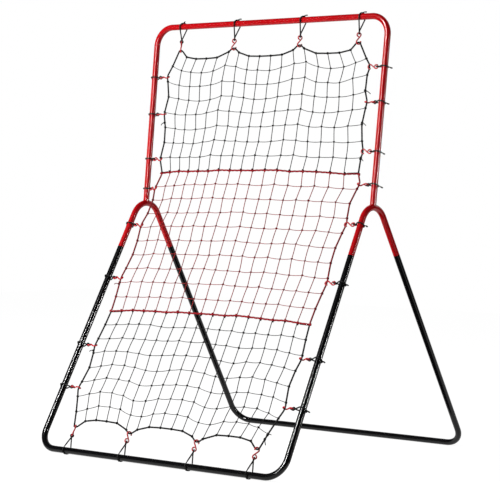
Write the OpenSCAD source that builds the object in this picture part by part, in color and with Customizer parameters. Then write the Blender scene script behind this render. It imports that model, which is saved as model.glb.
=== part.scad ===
// Pitching target net: a free-standing Y frame of steel tube that carries a
// laced three-section net on bungee loops and S-hooks.
// Origin: middle of the footprint on the floor. +Z up, -Y towards the thrower.

/* [Frame] */
// Width between the upright axes at the top bar
top_w = 1150; // [1080:5:1250]
// Width between the axes of the two Y joints
joint_w = 1127; // [1070:1:1200]
// Width between the leg axes at the floor
foot_w = 1177; // [1120:1:1250]
// Height of the top bar's axis above the floor
top_z = 1734; // [1600:1:1900]
// Height at which the axes of the front and rear legs would meet
apex_z = 1070; // [1000:1:1140]
// How far the top bar stands behind that meeting point
top_lean = 76; // [40:1:110]
// Front base bar, forward of the meeting point
front_reach = 603; // [520:1:700]
// Rear base bar, behind the meeting point
rear_reach = 706; // [620:1:800]

/* [Tube] */
// Outside diameter of every frame tube
tube_d = 25; // [22:0.5:28]
// Wall of every frame tube
tube_wall = 1.2; // [1:0.1:1.5]
// How much thicker bending leaves the tube's wall, inside and outside alike
bend_growth = 0.1; // [0.1:0.01:0.2]
// Bend radius of the top corners, to the tube's axis
top_bend_r = 76; // [60:1:110]
// Bend radius of the four floor corners
foot_bend_r = 76; // [60:1:110]
// Bend radius of the Y joint's arch
arch_r = 88; // [80:1:110]
// Length of the Y joint's front arm from the meeting point
front_arm = 304; // [290:1:340]
// Length of the Y joint's rear arm from the meeting point
rear_arm = 314; // [290:1:350]
// Length of the top corner tube's upright, from the top bar's axis
corner_drop = 382; // [340:1:400]
// Where the two halves of the top bar meet, right of the middle
top_seam_x = 22; // [-60:1:60]

/* [Tube joints] */
// Length of the reduced end that slides into the next tube
spigot_len = 60; // [50:1:70]
// Radial play between a reduced end and the tube around it
spigot_play = 0.05; // [0.03:0.01:0.1]
// Length of the shoulder where a tube's end is reduced
shoulder_len = 4; // [3:0.5:6]
// Diameter of the snap buttons
button_d = 8; // [6:0.5:9]
// Radial play of a button in its holes
button_play = 0.05; // [0.02:0.01:0.1]
// How far a button stands out of the tube
button_proud = 3; // [2:0.1:4]
// Width of the spring clip's strip
clip_w = 6; // [4:0.5:7]
// Thickness of the spring clip's strip
clip_t = 0.8; // [0.6:0.1:1]
// Length of the clip's arms from the button to its bend
clip_arm = 30; // [25:1:34]

/* [Hooks and cords] */
// Wire diameter of the S-hooks
hook_wire = 4; // [3:0.1:4.2]
// Radius of the S-hook's eye, to the wire's axis
eye_r = 7; // [6.9:0.1:9]
// Radius of the S-hook's curl, to the wire's axis
curl_r = 8; // [8:0.1:9]
// Distance between the centres of eye and curl
hook_span = 27.5; // [25:0.5:30]
// Turn of every S-hook about its own length
hook_turn = 45; // [40:1:60]
// Diameter of the elastic cord
cord_d = 4; // [3:0.1:4.2]
// Length of the cord's tail behind its loop
tail_len = 16; // [8:1:24]
// Turn of the side and top tails round the tube, from straight away
tail_turn = 12; // [5:1:25]
// Diameter of the knot that ends the tail
knot_d = 9; // [7:0.5:11]
// Clearance between soft pieces and what carries them
soft_gap = 0.3; // [0.2:0.05:0.5]
// Clearance between the border rope and the bottom of an S-hook's curl
seat_gap = 0.6; // [0.5:0.1:0.9]

/* [Net] */
// Distance across from the frame's narrowest place to the net's side hooks
side_gap = 60.5; // [57.5:0.5:83.5]
// How far the net's corner hooks stand in from its side hooks
corner_inset = 60; // [43:1:100]
// How far the border draws in between side hooks
side_sag = 15; // [5:1:25]
// How far the top and bottom borders draw in between hooks
end_sag = 38; // [20:1:55]
// Distance from the top bar's axis to the net's top hooks
top_gap = 101; // [95:1:130]
// Distance from the front base bar's axis to the net's bottom hooks
bottom_gap = 101; // [95:1:130]
// Share of the net's height above the upper lacing
upper_share = 0.337; // [0.3:0.001:0.36]
// Share of the net's height above the lower lacing
lower_share = 0.708; // [0.66:0.001:0.74]
// Rise of both lacings towards the middle
lace_crown = 12; // [0:1:20]
// Half height of the stretch over which the net rounds the frame's bend
round_h = 640; // [500:10:700]
// How far the sides follow the frame instead, as a share
side_hold = 0.93; // [0.8:0.01:1]
// Columns of gaps
cols = 14; // [10:2:14]
// Rows of gaps in the top section
top_rows = 6; // [4:1:6]
// Rows of gaps in the middle section
middle_rows = 8; // [6:1:8]
// Rows of gaps in the bottom section
bottom_rows = 6; // [4:1:6]
// Width and thickness of the twine
twine = 2.5; // [2:0.1:3]
// Diameter of the border rope
rope_d = 5; // [4:0.1:5]
// Diameter of the lacing between sections
lace_d = 7; // [5:0.1:8]

/* [Hidden] */
$fn = 48;

LEFT = -1;
RIGHT = 1;
UP = [0, 0, 1];
REAR = [0, 1, 0];

tube_r = tube_d / 2;
bore_r = tube_r - tube_wall;
spigot_r = bore_r - spigot_play;
spigot_bore_r = spigot_r - tube_wall;
bend_lap = 1;
cope_start = 3;
cope_turn = 30;
cord_r = cord_d / 2;
tail_r = cord_r * 0.8;
wire_r = hook_wire / 2;
rope_r = rope_d / 2;
lace_r = lace_d / 2;
loop_r = tube_r + soft_gap + cord_r;

// The hook's straight middle crosses the line of pull at this angle.
hook_slant = asin((eye_r + curl_r) / hook_span);
curl_centre = curl_r - wire_r - rope_r - seat_gap;
eye_centre = curl_centre + hook_span;

// The front base bar stands on its cord loops, the rear one on its bends.
front_z = loop_r + cord_r;
rear_z = tube_r + bend_growth;
tail_drop = 25;
bottom_tail = 7;
front_extent = front_reach + (loop_r + bottom_tail) * cos(tail_drop) + knot_d / 2;
rear_extent = rear_reach + tube_r + button_proud;
apex_y = (front_extent - rear_extent) / 2;
front_y = apex_y - front_reach;
rear_y = apex_y + rear_reach;
top_y = apex_y + top_lean;

function unit(v) = v / norm(v);
function apex(side) = [side * joint_w / 2, apex_y, apex_z];
function front_foot(side) = [side * foot_w / 2, front_y, front_z];
function rear_foot(side) = [side * foot_w / 2, rear_y, rear_z];
function top_corner(side) = [side * top_w / 2, top_y, top_z];
function front_dir(side) = unit(front_foot(side) - apex(side));
function rear_dir(side) = unit(rear_foot(side) - apex(side));
function between(u, v) = acos(u * v);

// The upright stands on the crown of the arch.
function crown(side) =
    let (half = between(front_dir(side), rear_dir(side)) / 2)
    apex(side) + unit(front_dir(side) + rear_dir(side)) * arch_r * (1 / sin(half) - 1);
function upright_dir(side) = unit(top_corner(side) - crown(side));
function square_to(dir, v) = unit(v - dir * (v * dir));

// A tube joint is its seam, the way its reduced end points, and the button's way out.
function top_seam() = [[top_seam_x, top_y, top_z], [-1, 0, 0], REAR];
function upright_seam(side) =
    [top_corner(side) - upright_dir(side) * corner_drop, upright_dir(side),
     square_to(upright_dir(side), REAR)];
function front_seam(side) =
    [apex(side) + front_dir(side) * front_arm, front_dir(side),
     square_to(front_dir(side), REAR)];
function rear_seam(side) =
    [apex(side) + rear_dir(side) * rear_arm, rear_dir(side),
     square_to(rear_dir(side), REAR)];
function base_seam(y, z) = [[0, y, z], [1, 0, 0], REAR];
front_base_seam = base_seam(front_y, front_z);
rear_base_seam = base_seam(rear_y, rear_z);

module place(origin, x, y, z)
    multmatrix([[x[0], y[0], z[0], origin[0]],
                [x[1], y[1], z[1], origin[1]],
                [x[2], y[2], z[2], origin[2]],
                [0, 0, 0, 1]])
        children();

// Puts children at p with their Z along dir and their X as near to side_way as it goes.
module aim(p, dir, side_way) {
    x = square_to(dir, side_way);
    place(p, x, cross(dir, x), dir) children();
}

module rod(p, q, r)
    aim(p, unit(q - p), abs(unit(q - p) * REAR) < 0.9 ? REAR : UP)
        cylinder(h = norm(q - p), r = r);

// The bend of a tube turns about the local Z axis, from the X axis on. A bend is the
// list of its centre, X axis, Z axis, turn, and the straights before and after it.
function bend(a, v, b, bend_r) =
    let (to_a = unit(a - v), to_b = unit(b - v), half = between(to_a, to_b) / 2,
         reach = bend_r / tan(half),
         centre = v + unit(to_a + to_b) * bend_r / sin(half),
         x = unit(v + to_a * reach - centre))
    [centre, x, unit(cross(x, -to_a)), 180 - 2 * half, norm(a - v) - reach, norm(b - v) - reach];

module at_bend(bend) place(bend[0], bend[1], cross(bend[2], bend[1]), bend[2]) children();

// Puts children at the end of the bend's first or second straight, Z along the straight.
module before_bend(bend_r) translate([bend_r, 0, 0]) rotate([90, 0, 0]) children();
module after_bend(bend_r, turn)
    rotate([0, 0, turn]) translate([bend_r, 0, 0]) rotate([-90, 0, 0]) children();

// Each reduced end starts inside its tube and slides into the next one.
module spigot()
    difference() {
        union() {
            translate([0, 0, -shoulder_len]) cylinder(h = shoulder_len, r = bore_r);
            cylinder(h = spigot_len, r = spigot_r);
        }
        translate([0, 0, -shoulder_len - 1])
            cylinder(h = shoulder_len + spigot_len + 2, r = spigot_bore_r);
    }

module straight_tube(length, reduced) {
    difference() {
        cylinder(h = length, r = tube_r);
        translate([0, 0, -1]) cylinder(h = length + 2, r = bore_r);
    }
    if (reduced) translate([0, 0, length]) spigot();
}

// A bent stretch is a little thicker, and the straights end just inside it.
module arc(bend_r, turn)
    rotate_extrude(angle = turn) translate([bend_r, 0])
        difference() {
            circle(r = tube_r + bend_growth);
            circle(r = bore_r - bend_growth);
        }

module bent_tube(bend, bend_r, reduced_before, reduced_after)
    at_bend(bend) {
        before_bend(bend_r)
            translate([0, 0, -bend_lap]) straight_tube(bend[4] + bend_lap, reduced_before);
        arc(bend_r, bend[3]);
        after_bend(bend_r, bend[3])
            translate([0, 0, -bend_lap]) straight_tube(bend[5] + bend_lap, reduced_after);
    }

function button_at(seam) = seam[0] + seam[1] * spigot_len / 2;

module button_hole(seam)
    rod(button_at(seam), button_at(seam) + seam[2] * tube_d, button_d / 2 + button_play);

// ---- steel tubes

function top_bend(side) =
    bend(top_seam()[0], top_corner(side), upright_seam(side)[0], top_bend_r);
function arch_bend(side) = bend(front_seam(side)[0], apex(side), rear_seam(side)[0], arch_r);
function base_bend(side, base, foot, arm) = bend(base[0], foot, arm[0], foot_bend_r);

module top_corner_tube(side)
    difference() {
        bent_tube(top_bend(side), top_bend_r, side == RIGHT, false);
        button_hole(upright_seam(side));
        button_hole(top_seam());
    }

// The upright's stub is coped and welded over the arch.
module upright_stub(side) {
    foot = crown(side);
    way = upright_dir(side);
    length = norm(upright_seam(side)[0] - foot);
    difference() {
        aim(foot, way, REAR) {
            translate([0, 0, cope_start]) straight_tube(length - cope_start, true);
        }
        at_bend(arch_bend(side))
            rotate([0, 0, arch_bend(side)[3] / 2 - cope_turn / 2])
                rotate_extrude(angle = cope_turn) translate([arch_r, 0])
                    circle(r = tube_r - tube_wall / 2);
    }
}

module y_joint(side)
    difference() {
        union() {
            bent_tube(arch_bend(side), arch_r, true, true);
            upright_stub(side);
        }
        button_hole(upright_seam(side));
        button_hole(front_seam(side));
        button_hole(rear_seam(side));
    }

module base_tube(side, base, foot, arm)
    difference() {
        bent_tube(base_bend(side, base, foot, arm), foot_bend_r, side == LEFT, false);
        button_hole(base);
        button_hole(arm);
    }

module top_corner_left() color("firebrick") top_corner_tube(LEFT);
module top_corner_right() color("firebrick") top_corner_tube(RIGHT);
module y_joint_left() color("crimson") y_joint(LEFT);
module y_joint_right() color("crimson") y_joint(RIGHT);
module front_leg_left()
    color("dimgray") base_tube(LEFT, front_base_seam, front_foot(LEFT), front_seam(LEFT));
module front_leg_right()
    color("dimgray") base_tube(RIGHT, front_base_seam, front_foot(RIGHT), front_seam(RIGHT));
module rear_leg_left()
    color("dimgray") base_tube(LEFT, rear_base_seam, rear_foot(LEFT), rear_seam(LEFT));
module rear_leg_right()
    color("dimgray") base_tube(RIGHT, rear_base_seam, rear_foot(RIGHT), rear_seam(RIGHT));

// ---- snap buttons and their spring clips

// Half height of the clip inside the reduced tube's bore.
clip_half = sqrt(spigot_bore_r * spigot_bore_r - clip_w * clip_w / 4) - soft_gap;
clip_toe = button_d / 2 + 1;

// Local X runs back into the tube that is reduced, local Z is the button's way out.
module at_button(seam) place(button_at(seam), -seam[1], cross(seam[2], -seam[1]), seam[2]) children();

module spring_clip(seam)
    at_button(seam) {
        translate([-clip_toe, -clip_w / 2, -clip_half])
            cube([clip_toe + clip_arm + soft_gap, clip_w, clip_t]);
        translate([clip_arm + soft_gap, 0, 0]) rotate([90, 0, 0]) rotate([0, 0, -90])
            rotate_extrude(angle = 180)
                translate([clip_half - clip_t, -clip_w / 2]) square([clip_t, clip_w]);
    }

module snap_button(seam)
    at_button(seam) {
        translate([-clip_toe, -clip_w / 2, clip_half - clip_t])
            cube([clip_toe + clip_arm, clip_w, clip_t]);
        translate([0, 0, clip_half - clip_t]) rotate_extrude() button_outline();
    }

button_h = tube_r + button_proud - (clip_half - clip_t);
button_round = 1.5;
module button_outline() {
    square([button_d / 2, button_h - button_round]);
    square([button_d / 2 - button_round, button_h]);
    translate([button_d / 2 - button_round, button_h - button_round])
        intersection() {
            circle(r = button_round);
            square(button_round);
        }
}

module spring_clips()
    color("silver")
        for (seam = [top_seam(), upright_seam(LEFT), upright_seam(RIGHT),
                     front_seam(LEFT), front_seam(RIGHT), rear_seam(LEFT), rear_seam(RIGHT),
                     front_base_seam, rear_base_seam])
            spring_clip(seam);

module button_top() color("silver") snap_button(top_seam());
module button_upright_left() color("silver") snap_button(upright_seam(LEFT));
module button_upright_right() color("silver") snap_button(upright_seam(RIGHT));
module button_front_arm_left() color("silver") snap_button(front_seam(LEFT));
module button_front_arm_right() color("silver") snap_button(front_seam(RIGHT));
module button_rear_arm_left() color("silver") snap_button(rear_seam(LEFT));
module button_rear_arm_right() color("silver") snap_button(rear_seam(RIGHT));
module button_front_base() color("silver") snap_button(front_base_seam);
module button_rear_base() color("silver") snap_button(rear_base_seam);

// ---- the net's surface

net_half_w = min(top_w, joint_w, foot_w) / 2 - side_gap;
corner_half_w = net_half_w - corner_inset;

// The net's ends and lacings, by height.
lean = upright_dir(RIGHT);
rake = front_dir(RIGHT);
net_top_z = top_z - top_gap * abs(lean[2]);
net_bottom_z = front_z + bottom_gap * abs(rake[2]);
upper_z = net_top_z - upper_share * (net_top_z - net_bottom_z);
lower_z = net_top_z - lower_share * (net_top_z - net_bottom_z);

// Depth of the frame's front, in its upright plane and in its leg plane.
lean_rate = lean[1] / lean[2];
rake_rate = rake[1] / rake[2];
function upright_plane(z) = top_y + (z - top_z) * lean_rate;
function leg_plane(z) = front_y + (z - front_z) * rake_rate;
bend_z = (front_y - top_y + top_z * lean_rate - front_z * rake_rate) / (lean_rate - rake_rate);
function bulge(z) = let (far = max(0, round_h - abs(z - bend_z)))
    (rake_rate - lean_rate) * far * far / (4 * round_h);
function net_y(u, z) =
    (z > bend_z ? upright_plane(z) : leg_plane(z)) - bulge(z) * (1 - side_hold * u * u);

// Side hooks sit at these shares of the upright, from the top bar down to the crown,
// and of the front leg, from the meeting point down to the floor.
upright_shares = [[0.284, 0.494, 0.749, 0.916], [0.266, 0.452, 0.709, 0.881]];
leg_shares = [[0.162, 0.369, 0.624, 0.780], [0.138, 0.348, 0.611, 0.776]];
function side_index(side) = side == LEFT ? 0 : 1;
function hook_heights(side) = concat(
    [for (s = upright_shares[side_index(side)]) top_z - s * (top_z - crown(side)[2])],
    [for (s = leg_shares[side_index(side)]) apex_z - s * (apex_z - front_z)]);

// The border lies level for this far on each side of a hook.
hook_flat = 7;
border_corner_w = corner_half_w + hook_flat;
function span_mid(z1, z2) = [(z1 + z2) / 2, net_half_w - side_sag];
function side_border(side) =
    let (h = hook_heights(side), n = len(h))
    concat(
        [[net_bottom_z, border_corner_w]],
        [for (i = [n - 1:-1:0]) each concat(
            i < n - 1 ? [span_mid(h[i], h[i + 1])] : [],
            [[h[i] - hook_flat, net_half_w], [h[i] + hook_flat, net_half_w]])],
        [[net_top_z, border_corner_w]]);
left_border = side_border(LEFT);
right_border = side_border(RIGHT);
function half_w(u, z) = lookup(z, u < 0 ? left_border : right_border);

// Four hooks hold each end of the net, at these shares of its half width.
inner_hook = 0.365;
corner_hook = corner_half_w / border_corner_w;
hook_flat_u = hook_flat / border_corner_w;
outer_mid = (corner_hook + inner_hook) / 2;
outer_half = (corner_hook - inner_hook) / 2 - hook_flat_u;
function scallop(u) =
    let (a = abs(u),
         t = a < inner_hook ? a / (inner_hook - hook_flat_u) : abs(a - outer_mid) / outer_half)
    1 - pow(min(1, t), 4);
function crown_line(u) = lace_crown * (1 - u * u);
function line_z(k, u) =
    k == 0 ? net_top_z - end_sag * scallop(u) :
    k == 1 ? upper_z + crown_line(u) :
    k == 2 ? lower_z + crown_line(u) :
    net_bottom_z + end_sag * abs(rake[2]) * scallop(u);

// Point of section k at u across and t down.
function net_point(k, u, t) =
    let (z = line_z(k, u) + (line_z(k + 1, u) - line_z(k, u)) * t)
    [u * half_w(u, z), net_y(u, z), z];

step = 0.01;
function across(k, u, t) = unit(net_point(k, u + step, t) - net_point(k, u - step, t));
function upward(k, u, t) = unit(net_point(k, u, t - step) - net_point(k, u, t + step));

// A strand ends at the border rope, or at the curl of a hook that hangs on it there.
hook_half_h = curl_r + wire_r + twine + soft_gap;
hook_depth = curl_r + wire_r - curl_centre + soft_gap;
function side_back(side, z) =
    min([for (h = hook_heights(side)) abs(z - h)]) < hook_half_h ? hook_depth : rope_r + soft_gap;

// ---- knotted mesh panels, each one closed skin around its strands

function quad(a, b, c, d) = [[a, b, c], [a, c, d]];

// Four corners of a strand's end, seen from the front: near the middle line m,
// w to each side along s, front ones first.
function end_ring(m, s, f) = [m - s + f, m + s + f, m - s - f, m + s - f];

function knot_ring(p, x, t, f) =
    [p - x - t + f, p + x - t + f, p + x + t + f, p - x + t + f,
     p - x - t - f, p + x - t - f, p + x + t - f, p - x + t - f];

module mesh_panel(k, rows) {
    nx = cols - 1;
    ny = rows - 1;
    half = twine / 2;
    us = [for (i = [1:nx]) 2 * i / cols - 1];
    ts = [for (j = [1:ny]) j / rows];
    upper_back = (k == 0 ? rope_r : lace_r) + soft_gap;
    lower_back = (k == 2 ? rope_r : lace_r) + soft_gap;
    knots = [for (t = ts) for (u = us)
        let (x = across(k, u, t), v = upward(k, u, t), f = cross(x, v))
        each knot_ring(net_point(k, u, t), x * half, v * half, f * half)];
    sides = [for (t = ts) for (s = [LEFT, RIGHT])
        let (u = s * (1 - 2 * step), x = across(k, u, t), v = upward(k, u, t), f = cross(x, v))
        each end_ring(net_point(k, s, t) - x * s * side_back(s, net_point(k, s, t)[2]),
                      v * half, f * half)];
    ends = [for (top = [1, 0]) for (u = us)
        let (t = top ? step : 1 - step, x = across(k, u, t), v = upward(k, u, t), f = cross(x, v))
        each end_ring(net_point(k, u, top ? 0 : 1) + v * (top ? -upper_back : lower_back),
                      x * half, f * half)];
    function kn(i, j, c) = 8 * (j * nx + i) + c;
    side_0 = 8 * nx * ny;
    end_0 = side_0 + 8 * ny;
    function sd(j, s, c) = side_0 + 8 * j + 4 * s + c;
    function en(top, i, c) = end_0 + 4 * (nx * (1 - top) + i) + c;
    function row_arm(a, b) = concat(
        quad(a[0], a[1], b[1], b[0]), quad(a[2], b[2], b[3], a[3]),
        quad(a[1], a[3], b[3], b[1]), quad(a[0], b[0], b[2], a[2]));
    function column_arm(a, b) = concat(
        quad(b[0], a[0], a[1], b[1]), quad(b[2], b[3], a[3], a[2]),
        quad(a[2], a[0], b[0], b[2]), quad(a[1], a[3], b[3], b[1]));
    function right_of(i, j) = [kn(i, j, 1), kn(i, j, 2), kn(i, j, 5), kn(i, j, 6)];
    function left_of(i, j) = [kn(i, j, 0), kn(i, j, 3), kn(i, j, 4), kn(i, j, 7)];
    function under(i, j) = [kn(i, j, 0), kn(i, j, 1), kn(i, j, 4), kn(i, j, 5)];
    function over(i, j) = [kn(i, j, 3), kn(i, j, 2), kn(i, j, 7), kn(i, j, 6)];
    function side_end(j, s) = [for (c = [0:3]) sd(j, s, c)];
    function tip(top, i) = [for (c = [0:3]) en(top, i, c)];
    faces = concat(
        [for (j = [0:ny - 1]) for (i = [0:nx - 1]) each concat(
            quad(kn(i, j, 0), kn(i, j, 3), kn(i, j, 2), kn(i, j, 1)),
            quad(kn(i, j, 4), kn(i, j, 5), kn(i, j, 6), kn(i, j, 7)))],
        [for (j = [0:ny - 1]) for (i = [0:nx - 2]) each row_arm(right_of(i, j), left_of(i + 1, j))],
        [for (j = [0:ny - 2]) for (i = [0:nx - 1]) each column_arm(under(i, j), over(i, j + 1))],
        [for (j = [0:ny - 1]) let (a = side_end(j, 0), b = side_end(j, 1)) each concat(
            row_arm(a, left_of(0, j)), quad(a[3], a[1], a[0], a[2]),
            row_arm(right_of(nx - 1, j), b), quad(b[1], b[3], b[2], b[0]))],
        [for (i = [0:nx - 1]) let (a = tip(1, i), b = tip(0, i)) each concat(
            column_arm(a, over(i, 0)), quad(a[0], a[2], a[3], a[1]),
            column_arm(under(i, ny - 1), b), quad(b[0], b[1], b[3], b[2]))]);
    polyhedron(points = concat(knots, sides, ends), faces = faces);
}

module net_top() color("black") mesh_panel(0, top_rows);
module net_middle() color("darkred") mesh_panel(1, middle_rows);
module net_bottom() color("black") mesh_panel(2, bottom_rows);

// ---- ropes

rope_sides = 6;
function tangent(p, i) =
    unit(i == 0 ? p[1] - p[0] : i == len(p) - 1 ? p[i] - p[i - 1] :
         unit(p[i + 1] - p[i]) + unit(p[i] - p[i - 1]));
function rope_ring(p, way, r) =
    let (n = square_to(way, -REAR), s = cross(n, way))
    [for (k = [0:rope_sides - 1]) let (a = 360 * k / rope_sides)
        p + s * r * cos(a) + n * r * sin(a)];

module rope(p, r) {
    n = len(p);
    points = [for (i = [0:n - 1]) each rope_ring(p[i], tangent(p, i), r)];
    function at(i, k) = i * rope_sides + k % rope_sides;
    walls = [for (i = [0:n - 2]) for (k = [0:rope_sides - 1])
        each quad(at(i, k), at(i + 1, k), at(i + 1, k + 1), at(i, k + 1))];
    first = [for (k = [1:rope_sides - 2]) [at(0, 0), at(0, k), at(0, k + 1)]];
    last = [for (k = [1:rope_sides - 2]) [at(n - 1, 0), at(n - 1, k + 1), at(n - 1, k)]];
    polyhedron(points = points, faces = concat(walls, first, last));
}

function border_point(side, zw) = [side * zw[1], net_y(side, zw[0]), zw[0]];
clear_of_lace = lace_r + rope_r / 2;
function border_from(side, low, high) =
    let (b = side == LEFT ? left_border : right_border)
    concat([[low, lookup(low, b)]], [for (p = b) if (p[0] > low + 1 && p[0] < high - 1) p],
           [[high, lookup(high, b)]]);
function reversed(v) = [for (i = [len(v) - 1:-1:0]) v[i]];

scallop_steps = 5;
function scallop_us(mid, half) = [for (i = [0:scallop_steps]) mid + half * (2 * i / scallop_steps - 1)];
end_us = concat([-1], scallop_us(-outer_mid, outer_half), scallop_us(0, inner_hook - hook_flat_u),
                scallop_us(outer_mid, outer_half), [1]);
function end_border(k) = [for (u = end_us)
    let (z = line_z(k, u)) [u * half_w(u, z), net_y(u, z), z]];

function side_run(side, low, high) = [for (p = border_from(side, low, high)) border_point(side, p)];
function upper_run(side) =
    let (run = side_run(side, upper_z + clear_of_lace, net_top_z))
    [for (i = [0:len(run) - 2]) run[i]];
function lower_run(side) =
    let (run = side_run(side, net_bottom_z, lower_z - clear_of_lace))
    [for (i = [1:len(run) - 1]) run[i]];

module border_rope_top()
    color("black")
        rope(concat(upper_run(LEFT), end_border(0), reversed(upper_run(RIGHT))), rope_r);
module border_rope_bottom()
    color("black")
        rope(concat(reversed(lower_run(LEFT)), end_border(3), lower_run(RIGHT)), rope_r);
module side_rope(side)
    rope(side_run(side, lower_z + clear_of_lace, upper_z - clear_of_lace), rope_r);
module side_rope_left() color("darkred") side_rope(LEFT);
module side_rope_right() color("darkred") side_rope(RIGHT);

lace_steps = 14;
module lacing(k)
    rope([for (i = [0:lace_steps])
        let (u = 2 * i / lace_steps - 1, z = line_z(k, u), wide = half_w(u, z) + rope_r)
        [u * wide, net_y(u, z), z]], lace_r);
module lacing_upper() color("darkred") lacing(1);
module lacing_lower() color("darkred") lacing(2);

// ---- S-hooks and bungee loops

// A hook set is a point on the border, the nearest point on the axis of the tube that
// holds it, the way of that tube and the way of the border.
function onto(p, q, dir) = q + dir * ((p - q) * dir);
function side_way(side, z) =
    unit([0, net_y(side, z + hook_flat) - net_y(side, z - hook_flat), 2 * hook_flat]);
function side_sets(side) = [for (z = hook_heights(side))
    let (n = [side * net_half_w, net_y(side, z), z],
         upright = z > crown(side)[2],
         dir = upright ? upright_dir(side) : -front_dir(side))
    [n, onto(n, upright ? top_corner(side) : apex(side), dir), dir, side_way(side, z)]];
function end_sets(z, y, tube_z) = [for (u = [-corner_hook, -inner_hook, inner_hook, corner_hook])
    let (x = u * border_corner_w)
    [[x, net_y(u, z), z], [x, y, tube_z], [1, 0, 0], [1, 0, 0]]];
top_sets = end_sets(net_top_z, top_y, top_z);
bottom_sets = end_sets(net_bottom_z, front_y, front_z);

// Local Y runs from the border to the tube, local X as near to the given way as it goes.
module at_set(set, way) {
    y = unit(set[1] - set[0]);
    x = square_to(y, way);
    place(set[0], x, y, cross(x, y)) children();
}

eye_sweep = 280;
curl_sweep = 232;

// Half of the middle and the ring that follows it, from where the middle crosses the pull.
module hook_half(r, sweep) {
    half_len = r / tan(hook_slant);
    rotate([-90, 0, 0]) cylinder(h = half_len, r = wire_r);
    translate([-r, half_len, 0]) rotate_extrude(angle = sweep) translate([r, 0]) circle(r = wire_r);
}

module s_hook()
    rotate([0, hook_turn, 0])
        translate([0, curl_centre + curl_r / sin(hook_slant), 0]) rotate([0, 0, -hook_slant]) {
            hook_half(eye_r, eye_sweep);
            rotate([0, 0, 180]) hook_half(curl_r, curl_sweep);
        }

// Turns a drawing in X and Y into the plane square to the tube, local Y and Z.
module loop_plane() multmatrix([[0, 0, 1, 0], [1, 0, 0, 0], [0, 1, 0, 0], [0, 0, 0, 1]]) children();

// The knot rides just clear of the eye's wire, and both strands leave it for the tube.
eye_wire_y = eye_centre + eye_r;
eye_ring_r = wire_r + cord_r + soft_gap;
knot_r = knot_d / 2;
knot_from_hook = wire_r + knot_r + soft_gap;

module cord_ring(r, sweep)
    rotate_extrude(angle = sweep) translate([r, 0]) rotate(180) circle(r = cord_r);

// The cord round the tube at 0, with both strands to the knot at -span.
module tube_loop(span) {
    slope = asin(loop_r / span);
    run = span * cos(slope) - knot_r / 2;
    difference() {
        rotate([0, 0, -slope]) rotate([0, 0, -90]) cord_ring(loop_r, 180 + 2 * slope + 2);
        rotate([0, 0, slope]) translate([-loop_r, 0, -tube_r]) cube([loop_r, 2 * loop_r, tube_d]);
    }
    for (s = [-1, 1])
        rotate([0, 0, s * slope]) translate([0, s * loop_r, 0]) rotate([0, -90, 0])
            cylinder(h = run, r = cord_r);
}

// The small ring through the eye stands square to the hook, under the knot.
module eye_ring_and_knot() {
    translate([0, eye_wire_y, 0]) rotate([0, hook_turn, 0]) rotate([0, 90, 0])
        cord_ring(eye_ring_r, 360);
    translate([0, eye_wire_y + knot_from_hook, 0]) sphere(r = knot_r);
}

module loop_and_tail(reach, tail, turn)
    loop_plane() translate([reach, 0]) {
        tube_loop(reach - eye_wire_y - knot_from_hook);
        rotate([0, 0, turn]) translate([loop_r, 0, 0]) rotate([0, 90, 0])
            cylinder(h = tail, r = tail_r);
        rotate([0, 0, turn]) translate([loop_r + tail, 0, 0]) sphere(r = knot_r);
    }

module hooks(sets) for (set = sets) at_set(set, set[3]) s_hook();
module bungees(sets, tail, turn)
    for (set = sets) {
        at_set(set, set[3]) eye_ring_and_knot();
        at_set(set, set[2]) loop_and_tail(norm(set[1] - set[0]), tail, turn);
    }

module hooks_top() color("red") hooks(top_sets);
module hooks_bottom() color("red") hooks(bottom_sets);
module hooks_left() color("red") hooks(side_sets(LEFT));
module hooks_right() color("red") hooks(side_sets(RIGHT));
module bungees_top() color("black") bungees(top_sets, tail_len, tail_turn);
module bungees_left() color("black") bungees(side_sets(LEFT), tail_len, tail_turn);
module bungees_right() color("black") bungees(side_sets(RIGHT), tail_len, tail_turn);

// The bottom tails point forward, clear of the floor.
bottom_way = unit(bottom_sets[0][1] - bottom_sets[0][0]);
down_angle = atan2(-bottom_way[2], -bottom_way[1]);
module bungees_bottom() color("black") bungees(bottom_sets, bottom_tail, tail_drop - down_angle);

top_corner_left();
top_corner_right();
y_joint_left();
y_joint_right();
front_leg_left();
front_leg_right();
rear_leg_left();
rear_leg_right();
spring_clips();
button_top();
button_upright_left();
button_upright_right();
button_front_arm_left();
button_front_arm_right();
button_rear_arm_left();
button_rear_arm_right();
button_front_base();
button_rear_base();
net_top();
net_middle();
net_bottom();
border_rope_top();
border_rope_bottom();
side_rope_left();
side_rope_right();
lacing_upper();
lacing_lower();
hooks_top();
hooks_bottom();
hooks_left();
hooks_right();
bungees_top();
bungees_bottom();
bungees_left();
bungees_right();
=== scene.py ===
import math
import random

import bpy
from mathutils import Matrix, Vector


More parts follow.
